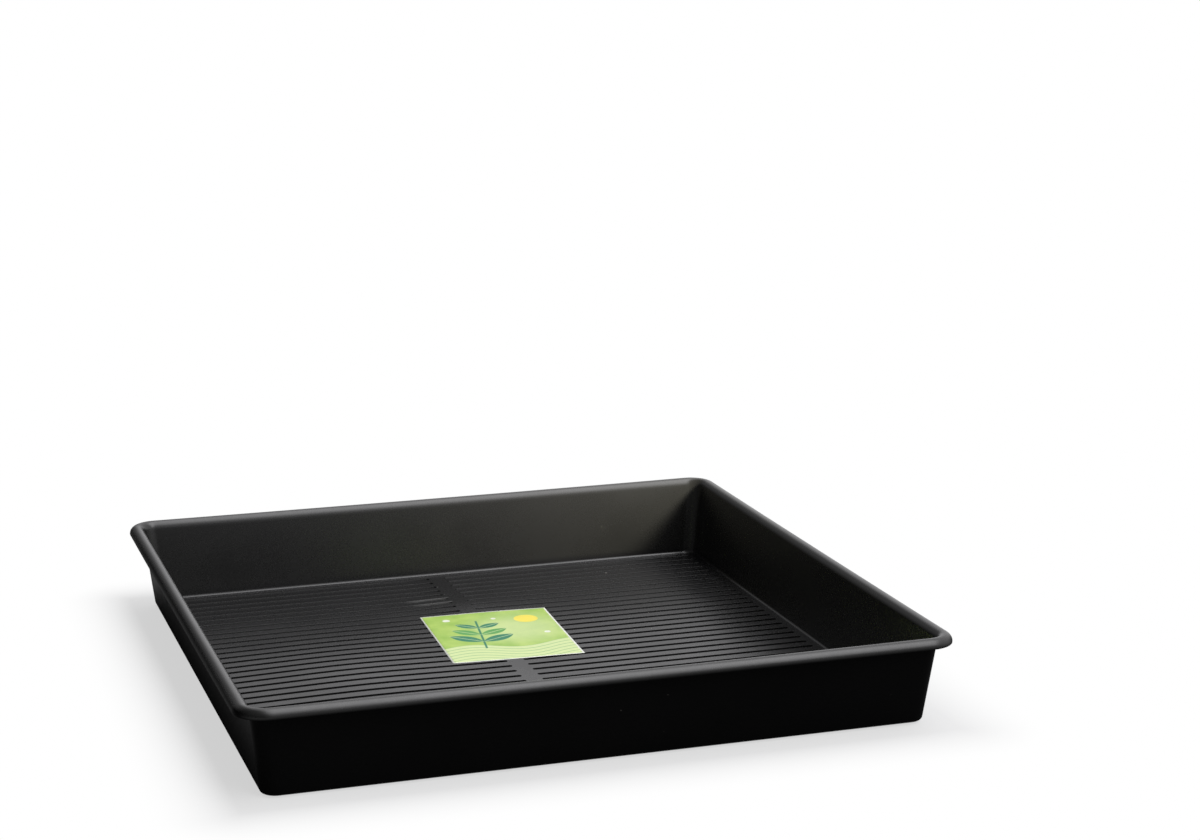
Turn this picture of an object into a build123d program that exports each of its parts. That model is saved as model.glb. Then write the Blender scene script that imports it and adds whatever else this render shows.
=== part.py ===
from build123d import *
import os
from math import radians, tan

# A square garden tray, moulded in one piece from plastic sheet, with a label stuck on its floor.
# Origin at the middle of the base, X along the front edge, Y to the back, Z up. Millimetres.

# Tray, overall
side = 1000.0  # over the rim, the same both ways
height = 131.0  # from the surface that it stands on to the crest of the rim
sheet = 2.0  # thickness of the moulded sheet

# Rim: a half round that turns out and down, with a short straight lip
rim_radius = 11.3  # outside of the half round
lip = 1.8  # straight drop below the half round

# Walls
draft = 6.75  # lean of the walls from upright, in degrees
wall_corner = 20.0  # plan radius inside the upright corners
floor_round = 4.0  # inside radius where the walls turn into the floor

# Floor grooves: two banks of straight channels, either side of a plain strip
groove_pitch = 24.5
groove_width = 8.0
groove_depth = 2.5
groove_flare = 8.0  # lean of the groove's sides from upright, in degrees
plain_strip = 25.0  # between the two banks
end_margin = 14.0  # from a groove's end to the edge of the floor
row_margin = 20.0  # least distance from the outer rows to the edge of the floor

# Label
label_width = 203.0
label_length = 245.0
label_thickness = 0.25
label_corner = 1.5
label_x = 13.7
label_y = 104.0
label_turn = -2.6  # degrees, seen from above

# Heights: the ridges under the grooves stand on the ground, the floor lies above them
rim_middle = height - rim_radius
floor_under = groove_depth
floor_top = floor_under + sheet

# Half sizes in plan
rim_line = side / 2 - rim_radius
rim_corner = wall_corner + rim_radius
wall_inside_top = rim_line - rim_radius
lean = tan(radians(draft))


def wall_inside(z):
    """Half width between the inner faces of two opposite walls at a height."""
    return wall_inside_top - (rim_middle - z) * lean


floor_edge = wall_inside(floor_top)
base_round = floor_round + sheet

# Groove layout
groove_end = floor_edge - end_margin
groove_length = groove_end - plain_strip / 2
bank_spacing = groove_end + plain_strip / 2
row_room = 2 * (floor_edge - row_margin)
row_count = int(row_room / groove_pitch) + 1


def tub(wall_offset, bottom, edge_round):
    """A solid block with the plan of the walls, leaning out from its rounded bottom edge."""
    with BuildPart() as block:
        for z in (bottom, rim_middle):
            with BuildSketch(Plane.XY.offset(z)):
                width = 2 * (wall_inside(z) + wall_offset)
                RectangleRounded(width, width, wall_corner + wall_offset)
        loft(ruled=True)
        fillet(block.faces().sort_by(Axis.Z)[0].edges(), edge_round)
    return block.part


with BuildPart() as tray:
    add(tub(sheet, floor_under, base_round))
    add(tub(0, floor_top, floor_round), mode=Mode.SUBTRACT)

    # The rim's section, swept round the top of the walls
    with BuildLine(Plane.XY.offset(rim_middle)) as rim_path:
        FilletPolyline(
            (-rim_line, -rim_line),
            (rim_line, -rim_line),
            (rim_line, rim_line),
            (-rim_line, rim_line),
            radius=rim_corner,
            close=True,
        )
    outward = (rim_path.line % 0).cross(Vector(0, 0, 1))
    section_plane = Plane(
        origin=rim_path.line @ 0, x_dir=outward, z_dir=outward.cross(Vector(0, 0, 1))
    )
    with BuildSketch(section_plane) as rim_section:
        with BuildLine():
            CenterArc((0, 0), rim_radius, 0, 180)
            Line((-rim_radius, 0), (sheet - rim_radius, 0))
            CenterArc((0, 0), rim_radius - sheet, 0, 180)
            Polyline(
                (rim_radius - sheet, 0),
                (rim_radius - sheet, -lip),
                (rim_radius, -lip),
                (rim_radius, 0),
            )
        make_face()
    sweep(rim_section.sketch, path=rim_path.line)

    # The grooves in the floor, and the ridges that they make under it
    for z, spread, mode in ((floor_under, 2 * sheet, Mode.ADD), (floor_top, 0, Mode.SUBTRACT)):
        with BuildSketch(Plane.XY.offset(z)):
            with GridLocations(bank_spacing, groove_pitch, 2, row_count):
                SlotOverall(groove_length + spread, groove_width + spread)
        extrude(amount=-groove_depth, taper=groove_flare, mode=mode)

with BuildPart() as label:
    label_plane = Plane(origin=(label_x, label_y, floor_top)).rotated((0, 0, label_turn))
    with BuildSketch(label_plane):
        RectangleRounded(label_width, label_length, label_corner)
    extrude(amount=label_thickness)

os.makedirs("parts", exist_ok=True)
tray.part.label = "tray_moulding"
export_step(tray.part, "parts/tray_moulding.step")
label.part.label = "label"
export_step(label.part, "parts/label.step")
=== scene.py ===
import math

import bmesh
import bpy
import numpy as np
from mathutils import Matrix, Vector


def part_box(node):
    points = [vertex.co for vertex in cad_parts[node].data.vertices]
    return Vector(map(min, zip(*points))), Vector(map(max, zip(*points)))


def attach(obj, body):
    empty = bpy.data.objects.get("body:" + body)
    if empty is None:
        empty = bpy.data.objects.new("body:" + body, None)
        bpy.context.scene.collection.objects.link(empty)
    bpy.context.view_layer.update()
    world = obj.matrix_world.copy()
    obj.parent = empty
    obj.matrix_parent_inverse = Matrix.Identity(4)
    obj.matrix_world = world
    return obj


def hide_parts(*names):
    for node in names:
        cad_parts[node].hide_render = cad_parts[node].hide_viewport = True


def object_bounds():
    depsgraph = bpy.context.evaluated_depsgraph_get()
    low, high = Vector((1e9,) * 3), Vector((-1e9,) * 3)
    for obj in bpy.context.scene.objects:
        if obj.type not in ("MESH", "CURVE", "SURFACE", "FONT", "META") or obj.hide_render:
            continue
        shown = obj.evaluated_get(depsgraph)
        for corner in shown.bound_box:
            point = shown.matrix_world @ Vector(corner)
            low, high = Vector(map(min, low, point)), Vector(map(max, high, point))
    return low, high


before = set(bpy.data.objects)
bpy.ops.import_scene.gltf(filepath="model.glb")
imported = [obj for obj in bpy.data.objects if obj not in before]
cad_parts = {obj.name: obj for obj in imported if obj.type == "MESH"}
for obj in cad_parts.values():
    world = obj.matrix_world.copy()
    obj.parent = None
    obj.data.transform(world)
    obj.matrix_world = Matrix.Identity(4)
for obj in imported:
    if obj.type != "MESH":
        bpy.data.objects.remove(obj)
cadLow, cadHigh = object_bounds()
print("frame loaded:", ", ".join(sorted(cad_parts)))


def tone(red, green, blue):
    # a screen colour, 0 to 255, as the linear colour that a shader takes
    def linear(level):
        share = level / 255
        return share / 12.92 if share <= 0.04045 else ((share + 0.055) / 1.055) ** 2.4

    return (linear(red), linear(green), linear(blue), 1.0)


class Wire:
    # a node socket that can be written in sums: each operator adds a Math node to its tree
    def __init__(self, socket):
        self.socket = socket

    @staticmethod
    def node(tree, kind, settings=None, inputs=None, out=0):
        # a socket takes a value or a wire, and one that joins several takes a list of wires
        made = tree.nodes.new(kind)
        for name, value in (settings or {}).items():
            setattr(made, name, value)
        for name, value in (inputs or {}).items():
            for item in value if isinstance(value, list) else [value]:
                if isinstance(item, Wire):
                    tree.links.new(item.socket, made.inputs[name])
                else:
                    made.inputs[name].default_value = item
        return Wire(made.outputs[out]) if len(made.outputs) else None

    def math(self, operation, *others):
        operands = dict(enumerate((self, *others)))
        return Wire.node(self.socket.id_data, "ShaderNodeMath", {"operation": operation}, operands)

    def after(self, operation, first):
        operands = {0: first, 1: self}
        return Wire.node(self.socket.id_data, "ShaderNodeMath", {"operation": operation}, operands)

    def __add__(self, other):
        return self.math("ADD", other)

    def __sub__(self, other):
        return self.math("SUBTRACT", other)

    def __rsub__(self, first):
        return self.after("SUBTRACT", first)

    def __mul__(self, other):
        return self.math("MULTIPLY", other)

    def __truediv__(self, other):
        return self.math("DIVIDE", other)

    def __rtruediv__(self, first):
        return self.after("DIVIDE", first)

    def __pow__(self, power):
        return self.math("POWER", power)

    def __rpow__(self, first):
        return self.after("POWER", first)

    def __neg__(self):
        return self.math("MULTIPLY", -1.0)

    def __abs__(self):
        return self.math("ABSOLUTE")

    __radd__ = __add__
    __rmul__ = __mul__

    def atLeast(self, other):
        return self.math("MAXIMUM", other)

    def atMost(self, other):
        return self.math("MINIMUM", other)

    def fade(self, low, high):
        # 0 at low, 1 at high and smooth between; low may be the larger
        span = {"Value": self, "From Min": low, "From Max": high}
        settings = {"interpolation_type": "SMOOTHSTEP"}
        return Wire.node(self.socket.id_data, "ShaderNodeMapRange", settings, span)

    def parts(self):
        split = Wire.node(self.socket.id_data, "ShaderNodeSeparateXYZ", inputs={0: self})
        return [Wire(socket) for socket in split.socket.node.outputs]

    def mixed(self, first, second):
        # the colour between first and second that this factor gives
        inputs = {0: self, 6: first, 7: second}
        return Wire.node(self.socket.id_data, "ShaderNodeMix", {"data_type": "RGBA"}, inputs, out=2)


def maker(tree):
    def node(kind, settings=None, inputs=None, out=0):
        return Wire.node(tree, kind, settings, inputs, out)

    return node


def noise(node, place, scale, detail, out=0):
    inputs = {"Vector": place, "Scale": scale, "Detail": detail}
    return node("ShaderNodeTexNoise", inputs=inputs, out=out)


def distance(across, along):
    # the straight line that two lengths at right angles give
    return (across ** 2 + along ** 2) ** 0.5


def beyondSquare(x, y, half):
    # how far a point lies outside a square round the origin
    return distance((abs(x) - half).atLeast(0.0), (abs(y) - half).atLeast(0.0))


def newMaterial(name):
    # an empty material, and the maker of its nodes
    material = bpy.data.materials.new(name)
    material.use_nodes = True
    material.node_tree.nodes.clear()
    return material, maker(material.node_tree)


def newTree(title, sockets):
    # a Geometry Nodes tree with named inputs and one Geometry output
    tree = bpy.data.node_groups.new(title, "GeometryNodeTree")
    for name, kind in sockets:
        tree.interface.new_socket(name, in_out="INPUT", socket_type="NodeSocket" + kind)
    tree.interface.new_socket("Geometry", in_out="OUTPUT", socket_type="NodeSocketGeometry")
    node = maker(tree)
    source = node("NodeGroupInput").socket.node
    given = {name: Wire(source.outputs[name]) for name, kind in sockets}
    return tree, node, given


def endTree(node, geometry, material):
    whole = node("GeometryNodeRealizeInstances", inputs={0: geometry})
    whole = node("GeometryNodeSetShadeSmooth", inputs={0: whole})
    whole = node("GeometryNodeSetMaterial", inputs={"Geometry": whole, "Material": material})
    node("NodeGroupOutput", inputs={0: whole})


def runTree(piece, tree, values):
    # runs the tree on the piece once and keeps what it gives as the piece's plain mesh
    modifier = piece.modifiers.new(tree.name, "NODES")
    modifier.node_group = tree
    for item in tree.interface.items_tree:
        if item.in_out == "INPUT" and item.name in values:
            modifier[item.identifier] = values[item.name]
    bpy.context.view_layer.update()
    evaluated = piece.evaluated_get(bpy.context.evaluated_depsgraph_get())
    mesh = bpy.data.meshes.new_from_object(evaluated)
    mesh.name = piece.name
    if mesh.materials[0] is None:
        mesh.materials.pop(index=0)  # the empty slot that joined tiles leave
    piece.modifiers.remove(modifier)
    piece.data = mesh


def newPiece(name, mesh):
    piece = bpy.data.objects.new(name, mesh)
    bpy.context.scene.collection.objects.link(piece)
    return piece


# Camera, where it stood for the picture

camera = {
    "place": (-1.00490, -3.47111, 1.16129),
    "turn": (1.354293, 0.001443, -0.319367),
    "lens": 75.33,
    "sensor": 36.0,
    "farthest": 200.0,
}


def makeCamera():
    data = bpy.data.cameras.new("camera")
    data.sensor_fit = "HORIZONTAL"
    data.sensor_width = camera["sensor"]
    data.lens = camera["lens"]
    data.clip_end = camera["farthest"]
    view = newPiece("camera", data)
    view.location = camera["place"]
    view.rotation_euler = camera["turn"]
    bpy.context.scene.camera = view


makeCamera()
print("camera set")


# Tray: one moulded sheet, with a rolled rim and a pressed floor. Sizes in metres

tray = {
    "side": cadHigh.x - cadLow.x,
    "height": 0.131,
    "sheet": 0.002,
    "rimRadius": 0.0113,
    "lip": 0.0018,
    "draft": math.radians(6.75),
    "wallCorner": 0.020,
    "floorRound": 0.004,
    "cornerSteps": 12,
    "rimSteps": 24,
    "lipSteps": 6,
    "roundSteps": 7,
    "wallSteps": 5,
    "support": 0.002,  # loops this close to a round keep the flat beside it flat
    "weld": 0.000001,  # points closer than this become one
    "tileWeld": 0.000002,
    "groove": {
        "pitch": 0.0245,
        "width": 0.008,
        "depth": 0.0025,
        "flare": math.radians(8),
        "edgeRound": 0.0003,
        "landReach": 1.6,  # the land's last loop, in edge rounds from the slot
        "shoulderSteps": 3,
        "footSteps": 2,
        "plainStrip": 0.025,
        "endMargin": 0.014,
        "rowMargin": 0.020,
        "straightSteps": 12,
        "arcSteps": 8,  # as many as the points round a tile's end ask for
        "beyondEnd": 0.003,
    },
    "warp": {
        # soft swells of the floor: middle x, y, spread x, y, rise
        "swells": [
            (-0.10, 0.13, 0.30, 0.30, 0.0004),
            (-0.242, 0.0, 0.095, 0.125, 0.0038),
            (0.033, 0.28, 0.065, 0.045, 0.0024),
        ],
        "flatEdge": 0.08,  # the swells die out this near the edge of the floor
        "sag": 0.0011,  # dip of the rim in the middle of a side
        "waviness": 0.0005,  # most that the walls and rim wander
        "wavinessNoise": (3.0, 1.0),  # scale and detail
        "wavinessFrom": 0.01,  # height where the wander begins
    },
    "plastic": {
        # the satin inner face with the rim, and a blacker, almost unreflective copy of it on the
        # mould's outer face: painted shade
        "inside": {
            "black": tone(20, 20, 19),
            "greyed": tone(25, 25, 24),
            "roughness": 0.27,
            "ior": 1.65,
        },
        "outside": {
            "black": tone(11, 11, 11),
            "greyed": tone(14, 14, 14),
            "roughness": 0.40,
            "ior": 1.03,
        },
        "floor": tone(9, 9, 10),  # a little blacker than the walls: painted shade, so the key lamp lights the floor less
        "floorShadeFade": (0.020, 0.006),  # heights between which the walls turn to the floor's painted-shade black
        # where the painted shade of the outer face begins and is full
        "wallEdge": (0.3, 0.7),  # out from the wall's inner face, in thicknesses of the sheet
        "rimEdge": (0.9, 1.2),  # and on the rim, in its radii
        "wallFade": (0.0, -0.2),  # heights from the rim's middle, in its radii
        "rimFade": (0.70, -0.20),
        # on the side rims the painted shade reaches higher
        "sideRimFade": (0.95, 0.45),
        "cornerBlend": 0.02,  # half the width of the turn to the side rims
        "grooveShadeShare": (0.92, 0.42),  # share of painted shade, the outer black, in the grooves, front and back
        "grooveEase": (0.05, 0.34),  # y between which the one turns to the other
        "grooveEdge": 0.0004,
        "bankEdge": 0.0005,
        "floorMarks": (0.014, 0.011),  # heights under which the groove shade and the painted glints show
        # noises, as scale and detail
        "patches": (7.0, 4.0),
        "mottle": (160.0, 2.0),
        "grain": (900.0, 1.0),
        "orangePeel": (260.0, 1.0),
        "grainHeight": 0.000004,
        "orangePeelHeight": 0.000008,
        "greyedFade": (0.30, 0.75),  # levels of the patches
        "greyedShare": 0.4,
        # what each adds to the roughness
        "patchWear": 0.14,
        "mottleWear": 0.08,
        "dustWear": 0.3,
        "dust": tone(120, 118, 112),
        "dustScale": 38.0,
        "dustSize": (0.030, 0.012),  # in cells of that scale, where a grain begins and is full
        "dustPatches": (0.50, 0.62),  # levels of the patches
        "dustShare": 0.6,
        "paintedGlint": tone(96, 96, 95),
        # painted glints along two groove edges: start and stop along x, y and half width
        "glintLines": [(-0.091, -0.013, 0.3230, 0.0018), (-0.084, -0.013, 0.2985, 0.0018)],
        "glintLineEnds": (0.030, 0.004),  # lengths over which a painted glint line begins and stops
        # painted glint spots: x, y and radius
        "glintSpots": [
            (-0.013, 0.344, 0.0024),
            (-0.028, 0.390, 0.0018),
            (-0.012, 0.391, 0.0018),
            (0.279, 0.384, 0.0020),
        ],
        "markCore": 0.5,  # share of a painted glint that is full
    },
}

groove = tray["groove"]
warp = tray["warp"]
plastic = tray["plastic"]

sheet = tray["sheet"]
draft = tray["draft"]
rimMiddle = tray["height"] - tray["rimRadius"]
rimLine = tray["side"] / 2 - tray["rimRadius"]
wallTop = rimLine - tray["rimRadius"] / math.cos(draft)
floorUnder = groove["depth"]
floorTop = floorUnder + sheet


def wallHalf(z):
    # half the width between the inner faces of the walls
    return wallTop - (rimMiddle - min(z, rimMiddle)) * math.tan(draft)


floorEdge = wallHalf(floorTop)
grooveEnd = floorEdge - groove["endMargin"]
rowCount = int(2 * (floorEdge - groove["rowMargin"]) / groove["pitch"]) + 1
rowShift = rowCount % 2 / 2  # an odd count has its middle row on the tray's own middle
bankLength = grooveEnd + groove["beyondEnd"]
bankHalf = rowCount * groove["pitch"] / 2
slotRadius = groove["width"] / 2
slotStart = groove["plainStrip"] / 2 + slotRadius
slotStop = grooveEnd - slotRadius
slotStations = np.linspace(slotStart, slotStop, groove["straightSteps"] + 1)
stripMiddle = slotStart / 2
endMiddle = (slotStop + bankLength) / 2

# points along a straight side, as shares of it, where the groove tiles have theirs
stationsOut = np.array([stripMiddle, *slotStations, endMiddle, bankLength])
sharesAcross = np.concatenate([-stationsOut[::-1], [0.0], stationsOut]) / bankLength
sharesDeep = np.linspace(-1, 1, 4 * rowCount + 1)  # a tile's end has four steps


def planLoop(halfX, halfY, radius, z):
    # one turn round a rounded rectangle, anticlockwise from its front side
    inX = halfX - radius
    inY = halfY - radius
    turn = np.linspace(0, math.pi / 2, tray["cornerSteps"] + 1)[1:-1]
    points = []
    for quarter, (sx, sy) in enumerate(((1, -1), (1, 1), (-1, 1), (-1, -1))):
        if quarter % 2 == 0:
            points += [(-sy * inX * share, sy * halfY) for share in sharesAcross]
        else:
            points += [(sx * halfX, sx * inY * share) for share in sharesDeep]
        for a in turn + (quarter - 1) * math.pi / 2:
            points.append((sx * inX + radius * math.cos(a), sy * inY + radius * math.sin(a)))
    return [(x, y, z) for x, y in points]


def arc(middle, radius, start, stop, steps):
    angles = np.linspace(start, stop, steps + 1)
    return [(middle[0] + radius * math.cos(a), middle[1] + radius * math.sin(a)) for a in angles]


def sheetSection():
    # the sheet's section as (half width, height), from the floor over the rim to the underside
    thick = sheet / math.cos(draft)
    innerRound = tray["floorRound"]
    outerRound = innerRound + sheet
    innerZ = floorTop + innerRound
    outerZ = floorUnder + outerRound
    innerMiddle = (wallHalf(innerZ) - innerRound / math.cos(draft), innerZ)
    outerMiddle = (wallHalf(outerZ) + thick - outerRound / math.cos(draft), outerZ)
    rim = (rimLine, rimMiddle)
    down = -math.pi / 2
    near = tray["support"]
    steps = tray["roundSteps"]

    inner = arc(innerMiddle, innerRound, down, -draft, steps)
    crown = arc(rim, tray["rimRadius"], math.pi - draft, 0, tray["rimSteps"])
    under = arc(rim, tray["rimRadius"] - sheet, 0, math.pi - draft, tray["rimSteps"] // 2)
    outer = arc(outerMiddle, outerRound, -draft, down, steps)
    lipMiddle = (rimLine + tray["rimRadius"] - sheet / 2, rimMiddle - tray["lip"] + sheet / 2)
    lipEdge = arc(lipMiddle, sheet / 2, 0, -math.pi, tray["lipSteps"])

    def wall(low, high, out):
        heights = [low + near, *np.linspace(low, high, tray["wallSteps"] + 2)[1:-1], high - near]
        return [(wallHalf(z) + out, z) for z in heights]

    section = [(inner[0][0] - near, floorTop), *inner]
    section += wall(inner[-1][1], rimMiddle, 0.0)
    section += crown + lipEdge + under
    section += wall(outer[0][1], rimMiddle, thick)[::-1]
    section += [*outer, (outer[-1][0] - near, floorUnder)]
    return section


def weld(mesh):
    work = bmesh.new()
    work.from_mesh(mesh)
    bmesh.ops.remove_doubles(work, verts=work.verts, dist=tray["weld"])
    bmesh.ops.dissolve_degenerate(work, edges=work.edges, dist=tray["weld"])
    work.to_mesh(mesh)
    work.free()


def ringFaces(rings, count):
    # the quads between closed rings of points, each ring outside the next
    faces = []
    for ring in range(rings - 1):
        here = ring * count
        for k in range(count):
            after = (k + 1) % count
            faces.append((here + k, here + after, here + count + after, here + count + k))
    return faces


def sheetMesh():
    # the whole sheet but for the two banks of grooves and the ridges under them
    loops = [planLoop(bankLength, bankHalf, 0.0, floorTop)]
    for half, z in sheetSection():
        loops.append(planLoop(half, half, tray["wallCorner"] + half - wallHalf(z), z))
    loops.append(planLoop(bankLength, bankHalf, 0.0, floorUnder))
    points = [point for loop in loops for point in loop]
    faces = [face[::-1] for face in ringFaces(len(loops), len(loops[0]))]
    mesh = bpy.data.meshes.new("traySheet")
    mesh.from_pydata(points, [], faces)
    weld(mesh)
    return mesh


def slotRing(radius, z):
    # one turn round a slot, anticlockwise from its front side
    sweep = np.linspace(-math.pi / 2, math.pi / 2, groove["arcSteps"] + 1)[1:-1]
    ring = [(x, -radius) for x in slotStations]
    ring += [(slotStop + radius * math.cos(a), radius * math.sin(a)) for a in sweep]
    ring += [(x, radius) for x in slotStations[::-1]]
    ring += [(slotStart - radius * math.cos(a), -radius * math.sin(a)) for a in sweep]
    return [(x, y, z) for x, y in ring]


def tileEdge(z):
    # the tile's rectangle, with one point for each point of a slot ring
    half = groove["pitch"] / 2
    quarters = (-half, -half / 2, 0.0, half / 2, half)
    ring = [(x, -half) for x in slotStations]
    ring += [(endMiddle, -half), *[(bankLength, y) for y in quarters], (endMiddle, half)]
    ring += [(x, half) for x in slotStations[::-1]]
    ring += [(stripMiddle, half), *[(0.0, -y) for y in quarters], (stripMiddle, -half)]
    return [(x, y, z) for x, y in ring]


def slotProfile(radius):
    # (radius, drop) across a pressed slot: land, rounded shoulder, flared side, rounded foot
    edge = groove["edgeRound"]
    lean = groove["flare"]
    down = -math.pi / 2
    foot = radius - (groove["depth"] - edge) * math.tan(lean)
    footMiddle = (foot - edge, edge - groove["depth"])
    profile = [(radius + groove["landReach"] * edge, 0.0)]
    profile += arc((radius + edge, -edge), edge, -down, math.pi - lean, groove["shoulderSteps"])
    profile += arc(footMiddle, edge, -lean, down, groove["footSteps"])
    return profile


def pressedTile(name, radius, z, upward):
    # a strip of floor one pitch deep, with one slot pressed into it
    rings = [tileEdge(z)] + [slotRing(grow, z + drop) for grow, drop in slotProfile(radius)]
    count = len(rings[0])
    faces = ringFaces(len(rings), count)
    base = (len(rings) - 1) * count
    steps = groove["straightSteps"]
    turns = groove["arcSteps"]
    front = [base + k for k in range(steps + 1)]
    right = [base + steps + j for j in range(turns + 1)]
    back = [base + 2 * steps + turns - k for k in range(steps + 1)]
    left = [base + (2 * steps + turns + j) % count for j in range(turns + 1)]
    faces += [(front[k], front[k + 1], back[k + 1], back[k]) for k in range(steps)]
    for end in (right, left):
        tip = turns // 2
        faces += [(end[j], end[j + 1], end[-2 - j], end[-1 - j]) for j in range(tip - 1)]
        faces.append((end[tip - 1], end[tip], end[tip + 1]))
    if not upward:
        faces = [face[::-1] for face in faces]
    mesh = bpy.data.meshes.new(name)
    mesh.from_pydata([point for ring in rings for point in ring], [], faces)
    return newPiece(name, mesh)


def fromRow(y, pitch):
    # how far a point lies from the middle of the nearest row of grooves
    return abs((y / pitch + rowShift).math("FRACT") - 0.5) * pitch


def floorRise(node, given):
    # how far the floor stands above its drawn level: nothing at its edge, most in soft swells
    x, y, z = node("GeometryNodeInputPosition").parts()
    inset = given["Floor Half"] - abs(x).atLeast(abs(y))
    rise = 0.0
    for swellX, swellY, spreadX, spreadY, height in warp["swells"]:
        away = ((x - swellX) / spreadX) ** 2 + ((y - swellY) / spreadY) ** 2
        rise = (away * -0.5).math("EXPONENT") * height + rise
    return inset.fade(0.0, given["Flat Edge"]) * rise


def lifted(node, geometry, rise):
    up = node("ShaderNodeCombineXYZ", inputs={2: rise})
    return node("GeometryNodeSetPosition", inputs={"Geometry": geometry, "Offset": up})


def trayTree():
    tree, node, given = newTree(
        "pressedTray",
        [
            ("Geometry", "Geometry"),
            ("Groove", "Object"),
            ("Ridge", "Object"),
            ("Rows", "Int"),
            ("Pitch", "Float"),
            ("Floor Half", "Float"),
            ("Flat Edge", "Float"),
            ("Side Half", "Float"),
            ("Sag", "Float"),
            ("Waviness", "Float"),
            ("Height", "Float"),
            ("Material", "Material"),
        ],
    )

    # a tile for each row, one bank each side of the middle, on the floor and under it
    start = (given["Rows"] - 1) * given["Pitch"] * -0.5
    first = node("ShaderNodeCombineXYZ", inputs={1: start})
    step = node("ShaderNodeCombineXYZ", inputs={1: given["Pitch"]})
    line = {"Count": given["Rows"], "Start Location": first, "Offset": step}
    rows = node("GeometryNodeMeshLine", {"mode": "OFFSET"}, line)
    joined = [given["Geometry"]]
    for form in ("Groove", "Ridge"):
        tile = node("GeometryNodeObjectInfo", inputs={"Object": given[form]}, out="Geometry")
        for turn in (0.0, math.pi):
            bank = {"Points": rows, "Instance": tile, "Rotation": (0.0, 0.0, turn)}
            joined.append(node("GeometryNodeInstanceOnPoints", inputs=bank))
    whole = node("GeometryNodeJoinGeometry", inputs={0: joined})
    whole = node("GeometryNodeRealizeInstances", inputs={0: whole})
    near = {"Geometry": whole, "Distance": tray["tileWeld"]}
    whole = node("GeometryNodeMergeByDistance", inputs=near)
    whole = lifted(node, whole, floorRise(node, given))

    # the walls and rim wander a little from their drawn lines
    place = node("GeometryNodeInputPosition")
    x, y, z = place.parts()
    dx, dy, dz = noise(node, place, *warp["wavinessNoise"], out="Color").parts()
    up = z.fade(warp["wavinessFrom"], given["Height"])
    reach = up * given["Waviness"]
    fromEnds = (1 - (x / given["Side Half"]) ** 2) + (1 - (y / given["Side Half"]) ** 2)
    dip = up * fromEnds.atLeast(0.0) * -given["Sag"]
    shifts = {0: (dx - 0.5) * reach, 1: (dy - 0.5) * reach, 2: dip}
    wander = node("ShaderNodeCombineXYZ", inputs=shifts)
    whole = node("GeometryNodeSetPosition", inputs={"Geometry": whole, "Offset": wander})
    endTree(node, whole, given["Material"])
    return tree


def paintedGrooveShade(x, y, z):
    # painted shade in the grooves: 1 on the sides and feet of the pressed grooves, 0 on the lands
    # between them
    along = (slotStart - abs(x)).atLeast(abs(x) - slotStop).atLeast(0.0)
    away = distance(fromRow(y, groove["pitch"]), along)
    slot = away.fade(slotRadius + plastic["grooveEdge"], slotRadius)
    edge = plastic["bankEdge"]
    rows = abs(y).fade(bankHalf + edge, bankHalf - edge)
    full, least = plastic["grooveShadeShare"]
    share = y.fade(*plastic["grooveEase"]) * (least - full) + full
    return slot * rows * z.fade(*plastic["floorMarks"]) * share


def paintedGlints(x, y, z):
    # painted highlight: 1 on the glints along two groove edges and on a few glint spots
    low = z.fade(*plastic["floorMarks"])
    begin, end = plastic["glintLineEnds"]
    core = plastic["markCore"]
    marks = 0.0
    for start, stop, line, half in plastic["glintLines"]:
        run = x.fade(start, start + begin) * x.fade(stop + end, stop)
        marks = run * abs(y - line).fade(half, half * core) * low + marks
    for glintX, glintY, radius in plastic["glintSpots"]:
        away = distance(x - glintX, y - glintY)
        marks = away.fade(radius, radius * core) * low + marks
    return marks.atMost(1.0)


def shadedOuterFace(x, y, z):
    # painted shade: 1 on the outer face of the walls, under the rim and in the grooves, 0 elsewhere
    # inside
    half = wallTop - (rimMiddle - z) * math.tan(draft) - tray["wallCorner"]
    beyond = beyondSquare(x, y, half) - tray["wallCorner"]
    onRim = (z - rimMiddle) / tray["rimRadius"]
    blend = plastic["cornerBlend"]
    onSide = (abs(x) - abs(y)).fade(-blend, blend)
    ends = onRim.fade(*plastic["rimFade"])
    below = ends + onSide * (onRim.fade(*plastic["sideRimFade"]) - ends)
    rimStart, rimFull = plastic["rimEdge"]
    rim = beyond.fade(rimStart * tray["rimRadius"], rimFull * tray["rimRadius"]) * below
    wallStart, wallFull = plastic["wallEdge"]
    wall = beyond.fade(wallStart * sheet, wallFull * sheet) * onRim.fade(*plastic["wallFade"])
    return rim.atLeast(wall).atLeast(paintedGrooveShade(x, y, z))


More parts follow.
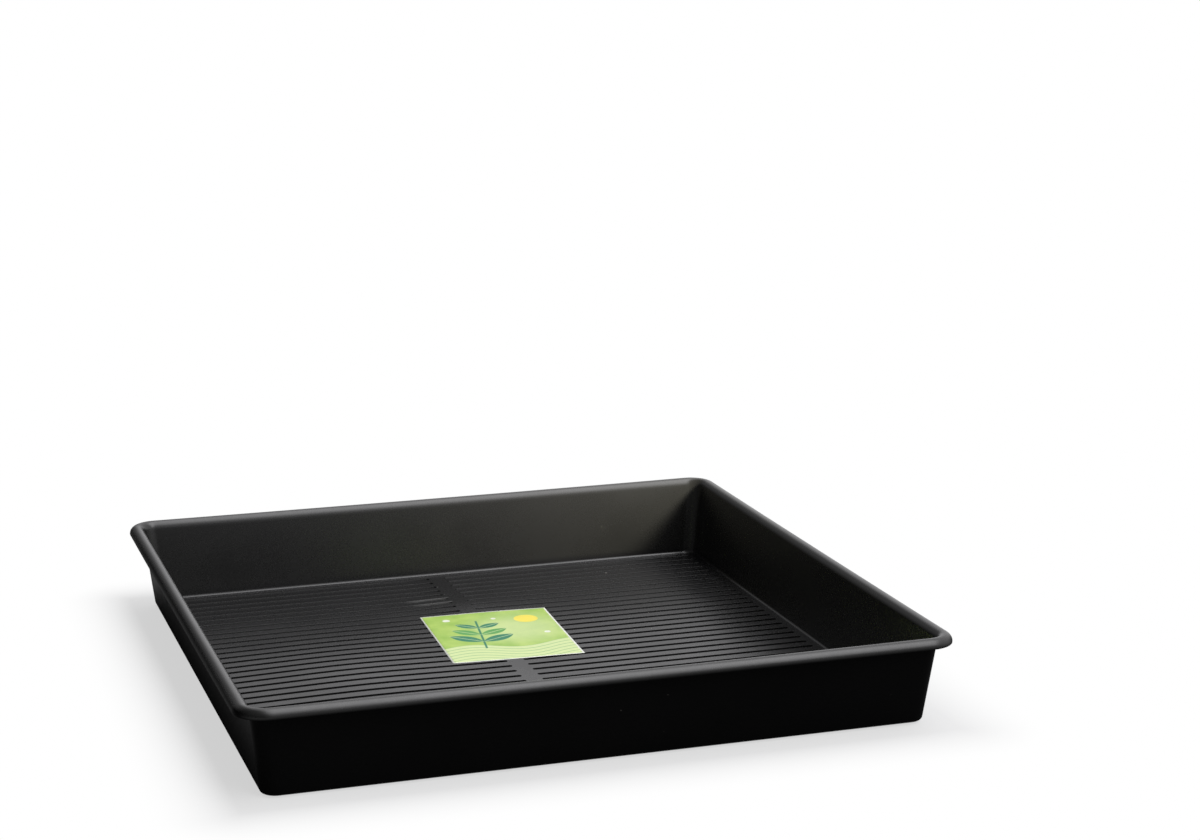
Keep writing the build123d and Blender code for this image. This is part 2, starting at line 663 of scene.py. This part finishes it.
def blackPlastic():
    material, node = newMaterial("satinBlackPlastic")
    place = node("ShaderNodeTexCoord", out="Object")
    x, y, z = place.parts()
    patches = noise(node, place, *plastic["patches"])
    mottle = noise(node, place, *plastic["mottle"])
    grain = noise(node, place, *plastic["grain"])
    peel = noise(node, place, *plastic["orangePeel"])
    cells = {"Vector": place, "Scale": plastic["dustScale"]}
    speck = node("ShaderNodeTexVoronoi", inputs=cells, out="Distance")
    dust = speck.fade(*plastic["dustSize"]) * patches.fade(*plastic["dustPatches"])
    relief = grain * plastic["grainHeight"] + peel * plastic["orangePeelHeight"]
    bump = node("ShaderNodeBump", inputs={"Height": relief, "Distance": 1.0})
    greyed = patches.fade(*plastic["greyedFade"]) * plastic["greyedShare"]
    wear = (patches - 0.5) * plastic["patchWear"] + (mottle - 0.5) * plastic["mottleWear"]
    wear = wear + dust * plastic["dustWear"]

    def face(skin, body):
        values = {
            "Base Color": (dust * plastic["dustShare"]).mixed(body, plastic["dust"]),
            "Roughness": wear + skin["roughness"],
            "Normal": bump,
            "IOR": skin["ior"],
        }
        return node("ShaderNodeBsdfPrincipled", inputs=values)

    inside = plastic["inside"]
    body = greyed.mixed(inside["black"], inside["greyed"])
    # painted shade: the floor darker than the walls
    body = z.fade(*plastic["floorShadeFade"]).mixed(body, plastic["floor"])
    # the lit inner face, with painted glints laid on it
    inner = face(inside, paintedGlints(x, y, z).mixed(body, plastic["paintedGlint"]))
    # the outer face: the same plastic, blacker and almost without reflection, as painted shade
    outside = plastic["outside"]
    outer = face(outside, greyed.mixed(outside["black"], outside["greyed"]))
    both = node("ShaderNodeMixShader", inputs={0: shadedOuterFace(x, y, z), 1: inner, 2: outer})
    node("ShaderNodeOutputMaterial", inputs={"Surface": both})
    return material


def makeTray(material):
    piece = newPiece("traySheet", sheetMesh())
    grooveTile = pressedTile("grooveTile", slotRadius, floorTop, True)
    ridgeTile = pressedTile("ridgeTile", slotRadius + sheet, floorUnder, False)
    runTree(
        piece,
        trayTree(),
        {
            "Groove": grooveTile,
            "Ridge": ridgeTile,
            "Rows": rowCount,
            "Pitch": groove["pitch"],
            "Floor Half": floorEdge,
            "Flat Edge": warp["flatEdge"],
            "Side Half": tray["side"] / 2,
            "Sag": warp["sag"],
            "Waviness": warp["waviness"],
            "Height": tray["height"],
            "Material": material,
        },
    )
    for tile in (grooveTile, ridgeTile):
        bpy.data.objects.remove(tile)
    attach(piece, "root")
    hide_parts("tray_moulding")
    return piece


traySheet = makeTray(blackPlastic())
print("tray sheet made:", len(traySheet.data.polygons), "faces")


# Label: a printed paper sheet that lies on the pressed floor

label = {
    "width": 0.203,
    "length": 0.245,
    "thickness": 0.00025,
    "turn": math.radians(-2.6),
    "cells": (36, 60),
    "dip": 0.00012,  # sag into a groove
    "design": {
        "paper": tone(244, 246, 236),
        "lime": tone(183, 212, 104),
        "deepLime": tone(150, 192, 74),
        "pale": tone(222, 236, 176),
        "teal": tone(38, 130, 96),
        "leaf": tone(92, 166, 84),
        "sun": tone(250, 232, 92),
        "roughness": 0.38,
        "roughnessSpread": 0.1,
        "ior": 1.45,
        # noises, as scale and detail
        "fibre": (900.0, 2.0),
        "mottle": (22.0, 3.0),
        "fibreHeight": 0.00002,
        "mottleFade": (0.3, 0.7),
        # places and sizes, from the front left corner; shares are how far an ink covers
        "softEdge": 0.0006,
        "border": 0.0026,
        "glowMiddle": (0.135, 0.150),
        "glowFade": (0.11, 0.02),
        "glowShare": 0.6,
        "hillLevel": 0.070,
        "hillSwell": 0.012,
        "hillWaves": 38.0,  # radians to the metre
        "hillShare": 0.85,
        "furrowPitch": 0.013,
        "furrowFade": (0.40, 0.47),  # in pitches, from midway between two furrows
        "furrowShare": 0.8,
        "sunDisc": (0.160, 0.196, 0.019),  # x, y and radius, as the dots
        "dots": [(0.036, 0.215, 0.006), (0.110, 0.208, 0.004), (0.176, 0.120, 0.005)],
        "dotShare": 0.85,
        "stemFoot": (0.066, 0.060),
        "stemLean": 0.10,
        "stemFade": (0.0022, 0.0012),
        "stemStart": (0.060, 0.062),
        "stemStop": (0.205, 0.200),
        # pairs of leaves: height on the stem, length and ink
        "leaves": [(0.095, 0.060, "teal"), (0.130, 0.052, "leaf"), (0.165, 0.042, "teal")],
        "leafAngles": (28, 140),
        "leafWidth": 0.42,  # in lengths of the leaf, as the start
        "leafStart": (0.0, 0.02),
        "ribFade": (0.0012, 0.0004),
        "ribShare": 0.8,
    },
}

design = label["design"]


def labelMesh():
    # a closed sheet in its own place, its print laid out by a UV map
    low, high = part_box("label")
    middle = (low + high) / 2
    nx, ny = label["cells"]
    across = np.linspace(-0.5, 0.5, nx + 1)
    along = np.linspace(-0.5, 0.5, ny + 1)
    cosTurn = math.cos(label["turn"])
    sinTurn = math.sin(label["turn"])
    points = []
    prints = []
    for z in (floorTop, floorTop + label["thickness"]):
        for v in along:
            for u in across:
                x = u * label["width"]
                y = v * label["length"]
                turnedX = middle.x + x * cosTurn - y * sinTurn
                turnedY = middle.y + x * sinTurn + y * cosTurn
                points.append((turnedX, turnedY, z))
                prints.append((u + 0.5, v + 0.5))
    row = nx + 1
    layer = row * (ny + 1)
    faces = []
    for j in range(ny):
        for i in range(nx):
            k = j * row + i
            faces.append((k, k + row, k + row + 1, k + 1))
            faces.append((layer + k, layer + k + 1, layer + k + row + 1, layer + k + row))
    front = list(range(row))
    right = [j * row + nx for j in range(ny + 1)]
    back = [ny * row + i for i in range(nx, -1, -1)]
    left = [j * row for j in range(ny, -1, -1)]
    for side in (front, right, back, left):
        faces += [(a, b, layer + b, layer + a) for a, b in zip(side, side[1:])]
    mesh = bpy.data.meshes.new("labelSheet")
    mesh.from_pydata(points, [], faces)
    spread = mesh.uv_layers.new(name="print")
    for loop in mesh.loops:
        spread.data[loop.index].uv = prints[loop.vertex_index]
    return mesh


def labelTree():
    tree, node, given = newTree(
        "laidLabel",
        [
            ("Geometry", "Geometry"),
            ("Pitch", "Float"),
            ("Groove Width", "Float"),
            ("Dip", "Float"),
            ("Floor Half", "Float"),
            ("Flat Edge", "Float"),
            ("Material", "Material"),
        ],
    )
    x, y, z = node("GeometryNodeInputPosition").parts()
    fromGroove = fromRow(y, given["Pitch"])
    sag = fromGroove.fade(given["Groove Width"] * 0.5, 0.0) * given["Dip"]
    whole = lifted(node, given["Geometry"], floorRise(node, given) - sag)
    endTree(node, whole, given["Material"])
    return tree


def printedPaper():
    material, node = newMaterial("printedPaper")
    u, v, w = node("ShaderNodeUVMap", {"uv_map": "print"}).parts()
    x = u * label["width"]
    y = v * label["length"]
    flat = node("ShaderNodeCombineXYZ", inputs={0: x, 1: y})
    soft = design["softEdge"]

    def disc(cx, cy, radius):
        return distance(x - cx, y - cy).fade(radius + soft, radius - soft)

    def leafShape(cx, cy, length, angle):
        # a pointed oval from its stalk end at (cx, cy), and its rib
        turned = math.radians(angle)
        along = (x - cx) * math.cos(turned) + (y - cy) * math.sin(turned)
        across = (y - cy) * math.cos(turned) - (x - cx) * math.sin(turned)
        share = along / length
        edge = (share * (1 - share)).atLeast(0.0) * (2 * length * design["leafWidth"])
        blade = (edge - abs(across)).fade(-soft / 2, soft / 2) * share.fade(*design["leafStart"])
        rib = abs(across).fade(*design["ribFade"]) * blade
        return blade, rib

    mottle = noise(node, flat, *design["mottle"]).fade(*design["mottleFade"])
    colour = mottle.mixed(design["lime"], design["deepLime"])
    glowX, glowY = design["glowMiddle"]
    glow = distance(x - glowX, y - glowY).fade(*design["glowFade"])
    colour = (glow * design["glowShare"]).mixed(colour, design["pale"])

    # low hills with furrows
    crest = design["hillLevel"] + (x * design["hillWaves"]).math("SINE") * design["hillSwell"]
    hill = (crest - y).fade(-soft, soft)
    furrow = ((crest - y) / design["furrowPitch"]).math("FRACT")
    furrow = abs(furrow - 0.5).fade(*design["furrowFade"]) * hill
    colour = (hill * design["hillShare"]).mixed(colour, design["pale"])
    colour = (furrow * design["furrowShare"]).mixed(colour, design["leaf"])

    # a sun, a sprig with paired leaves, and dots
    colour = disc(*design["sunDisc"]).mixed(colour, design["sun"])
    stemX, stemY = design["stemFoot"]
    stem = abs(x - stemX - (y - stemY) * design["stemLean"]).fade(*design["stemFade"])
    stem = stem * y.fade(*design["stemStart"]) * y.fade(*design["stemStop"])
    colour = stem.mixed(colour, design["teal"])
    for height, length, ink in design["leaves"]:
        foot = stemX + (height - stemY) * design["stemLean"]
        for angle in design["leafAngles"]:
            blade, rib = leafShape(foot, height, length, angle)
            colour = blade.mixed(colour, design[ink])
            colour = (rib * design["ribShare"]).mixed(colour, design["pale"])
    for dot in design["dots"]:
        colour = (disc(*dot) * design["dotShare"]).mixed(colour, design["paper"])

    # the bare border, and the paper's own fibre
    inset = x.atMost(label["width"] - x).atMost(y).atMost(label["length"] - y)
    border = inset.fade(design["border"] + soft / 2, design["border"] - soft / 2)
    fibre = noise(node, flat, *design["fibre"])
    relief = {"Height": fibre * design["fibreHeight"], "Distance": 1.0}
    values = {
        "Base Color": border.mixed(colour, design["paper"]),
        "Roughness": design["roughness"] + (fibre - 0.5) * design["roughnessSpread"],
        "Normal": node("ShaderNodeBump", inputs=relief),
        "IOR": design["ior"],
    }
    face = node("ShaderNodeBsdfPrincipled", inputs=values)
    node("ShaderNodeOutputMaterial", inputs={"Surface": face})
    return material


def makeLabel(material):
    piece = newPiece("labelSheet", labelMesh())
    runTree(
        piece,
        labelTree(),
        {
            "Pitch": groove["pitch"],
            "Groove Width": groove["width"],
            "Dip": label["dip"],
            "Floor Half": floorEdge,
            "Flat Edge": warp["flatEdge"],
            "Material": material,
        },
    )
    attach(piece, "root")
    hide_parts("label")
    return piece


labelSheet = makeLabel(printedPaper())
print("label made:", len(labelSheet.data.polygons), "faces")


# Stage and light

stage = {
    "reach": 80.0,
    "floor": tone(215, 215, 215),
    "roughness": 0.9,
    # distances from the tray between which the floor turns from lit to plain white
    "shadowReach": (-0.16, 0.12),  # seen straight
    "glossReach": (-0.01, 0.10),  # seen in gloss
}

light = {
    # the surround: a dim side, a bright side to the right and a soft bright patch overhead
    "sky": (0.985, 0.980, 1.0, 1.0),
    "dimSide": 0.10,
    "brightSide": 0.83,
    "turnover": (-0.10, 0.36),
    "turnoverLean": 0.15,
    "overhead": 2.6,
    "overheadX": (-0.02, 0.18, 0.42, 0.66),  # where the patch rises and falls across the sky
    "overheadY": (-0.95, -0.35, 0.20, 0.80),
    "overheadZ": (0.25, 0.50),  # and how far it comes down to the horizon
    "slant": 1.2,  # the patch's second pair of edges leans by this
    "slantFrom": 0.2,
    # a weak glow low behind the tray
    "glow": 0.14,
    "glowX": (0.10, -0.15),
    "glowY": (0.40, 0.80),
    "glowZ": (0.10, 0.35),
    # name, power, place, aim, width, spread in degrees, colour
    "lamps": [
        ("keyLight", 11.5, (0.87, -0.45, 0.50), (0.47, 0.477, 0.34), 0.16, 54, (1.0, 0.95, 0.82)),
        ("fillLight", 5.9, (0.10, -0.30, 2.20), (0.0, 0.05, 0.0), 1.2, 120, (1.0, 1.0, 1.0)),
    ],
}


def seenDirectly(node):
    # what the camera looks at, and what a reflection or glass looks at, each 1 or 0
    ray = node("ShaderNodeLightPath").socket.node
    names = ("Is Camera Ray", "Is Glossy Ray", "Is Transmission Ray")
    straight, glossy, through = (Wire(ray.outputs[name]) for name in names)
    return straight, (glossy + through).atMost(1.0)


def makeStage():
    reach = stage["reach"]
    corners = [(-reach, -reach, 0), (reach, -reach, 0), (reach, reach, 0), (-reach, reach, 0)]
    mesh = bpy.data.meshes.new("stageFloor")
    mesh.from_pydata(corners, [], [(0, 1, 2, 3)])
    floor = newPiece("stageFloor", mesh)
    material, node = newMaterial("paleFloor")
    matt = {
        "Base Color": stage["floor"],
        "Roughness": stage["roughness"],
        "Specular IOR Level": 0.0,
    }
    lit = node("ShaderNodeBsdfPrincipled", inputs=matt)
    white = node("ShaderNodeEmission", inputs={"Strength": 1.0})
    x, y, z = node("ShaderNodeTexCoord", out="Object").parts()
    away = beyondSquare(x, y, tray["side"] / 2)
    straight, gloss = seenDirectly(node)
    plain = straight * away.fade(*stage["shadowReach"]) + gloss * away.fade(*stage["glossReach"])
    shown = node("ShaderNodeMixShader", inputs={0: plain, 1: lit, 2: white})
    node("ShaderNodeOutputMaterial", inputs={"Surface": shown})
    material.cycles.emission_sampling = "NONE"
    mesh.materials.append(material)


def makeWorld():
    world = bpy.data.worlds.new("studio")
    bpy.context.scene.world = world
    world.use_nodes = True
    world.node_tree.nodes.clear()
    node = maker(world.node_tree)
    x, y, z = node("ShaderNodeTexCoord", out="Generated").parts()
    side = (x + z * light["turnoverLean"]).fade(*light["turnover"]) * light["brightSide"]
    patch = z.fade(*light["overheadZ"]) * light["overhead"]
    slanted = y + (x - light["slantFrom"]) * light["slant"]
    for way, (rise, full, fall, end) in ((x, light["overheadX"]), (slanted, light["overheadY"])):
        patch = way.fade(rise, full) * way.fade(end, fall) * patch
    glow = x.fade(*light["glowX"]) * y.fade(*light["glowY"]) * z.fade(*light["glowZ"])
    strength = side + patch + glow * light["glow"] + light["dimSide"]
    sky = node("ShaderNodeBackground", inputs={"Color": light["sky"], "Strength": strength})
    node("ShaderNodeOutputWorld", inputs={"Surface": sky})


def makeLights():
    lit = bpy.data.collections.new("litByLamps")
    for piece in (traySheet, labelSheet):
        lit.objects.link(piece)
    for name, power, place, aim, width, spread, colour in light["lamps"]:
        data = bpy.data.lights.new(name, "AREA")
        data.energy = power
        data.size = width
        data.spread = math.radians(spread)
        data.color = colour
        lamp = newPiece(name, data)
        lamp.location = place
        lamp.rotation_euler = (Vector(aim) - lamp.location).to_track_quat("-Z", "Y").to_euler()
        lamp.visible_camera = False
        lamp.visible_glossy = False
        lamp.light_linking.receiver_collection = lit  # the stage floor keeps only soft shadow


makeStage()
makeWorld()
makeLights()
bpy.context.scene.view_settings.view_transform = "Standard"
print("stage and light set")
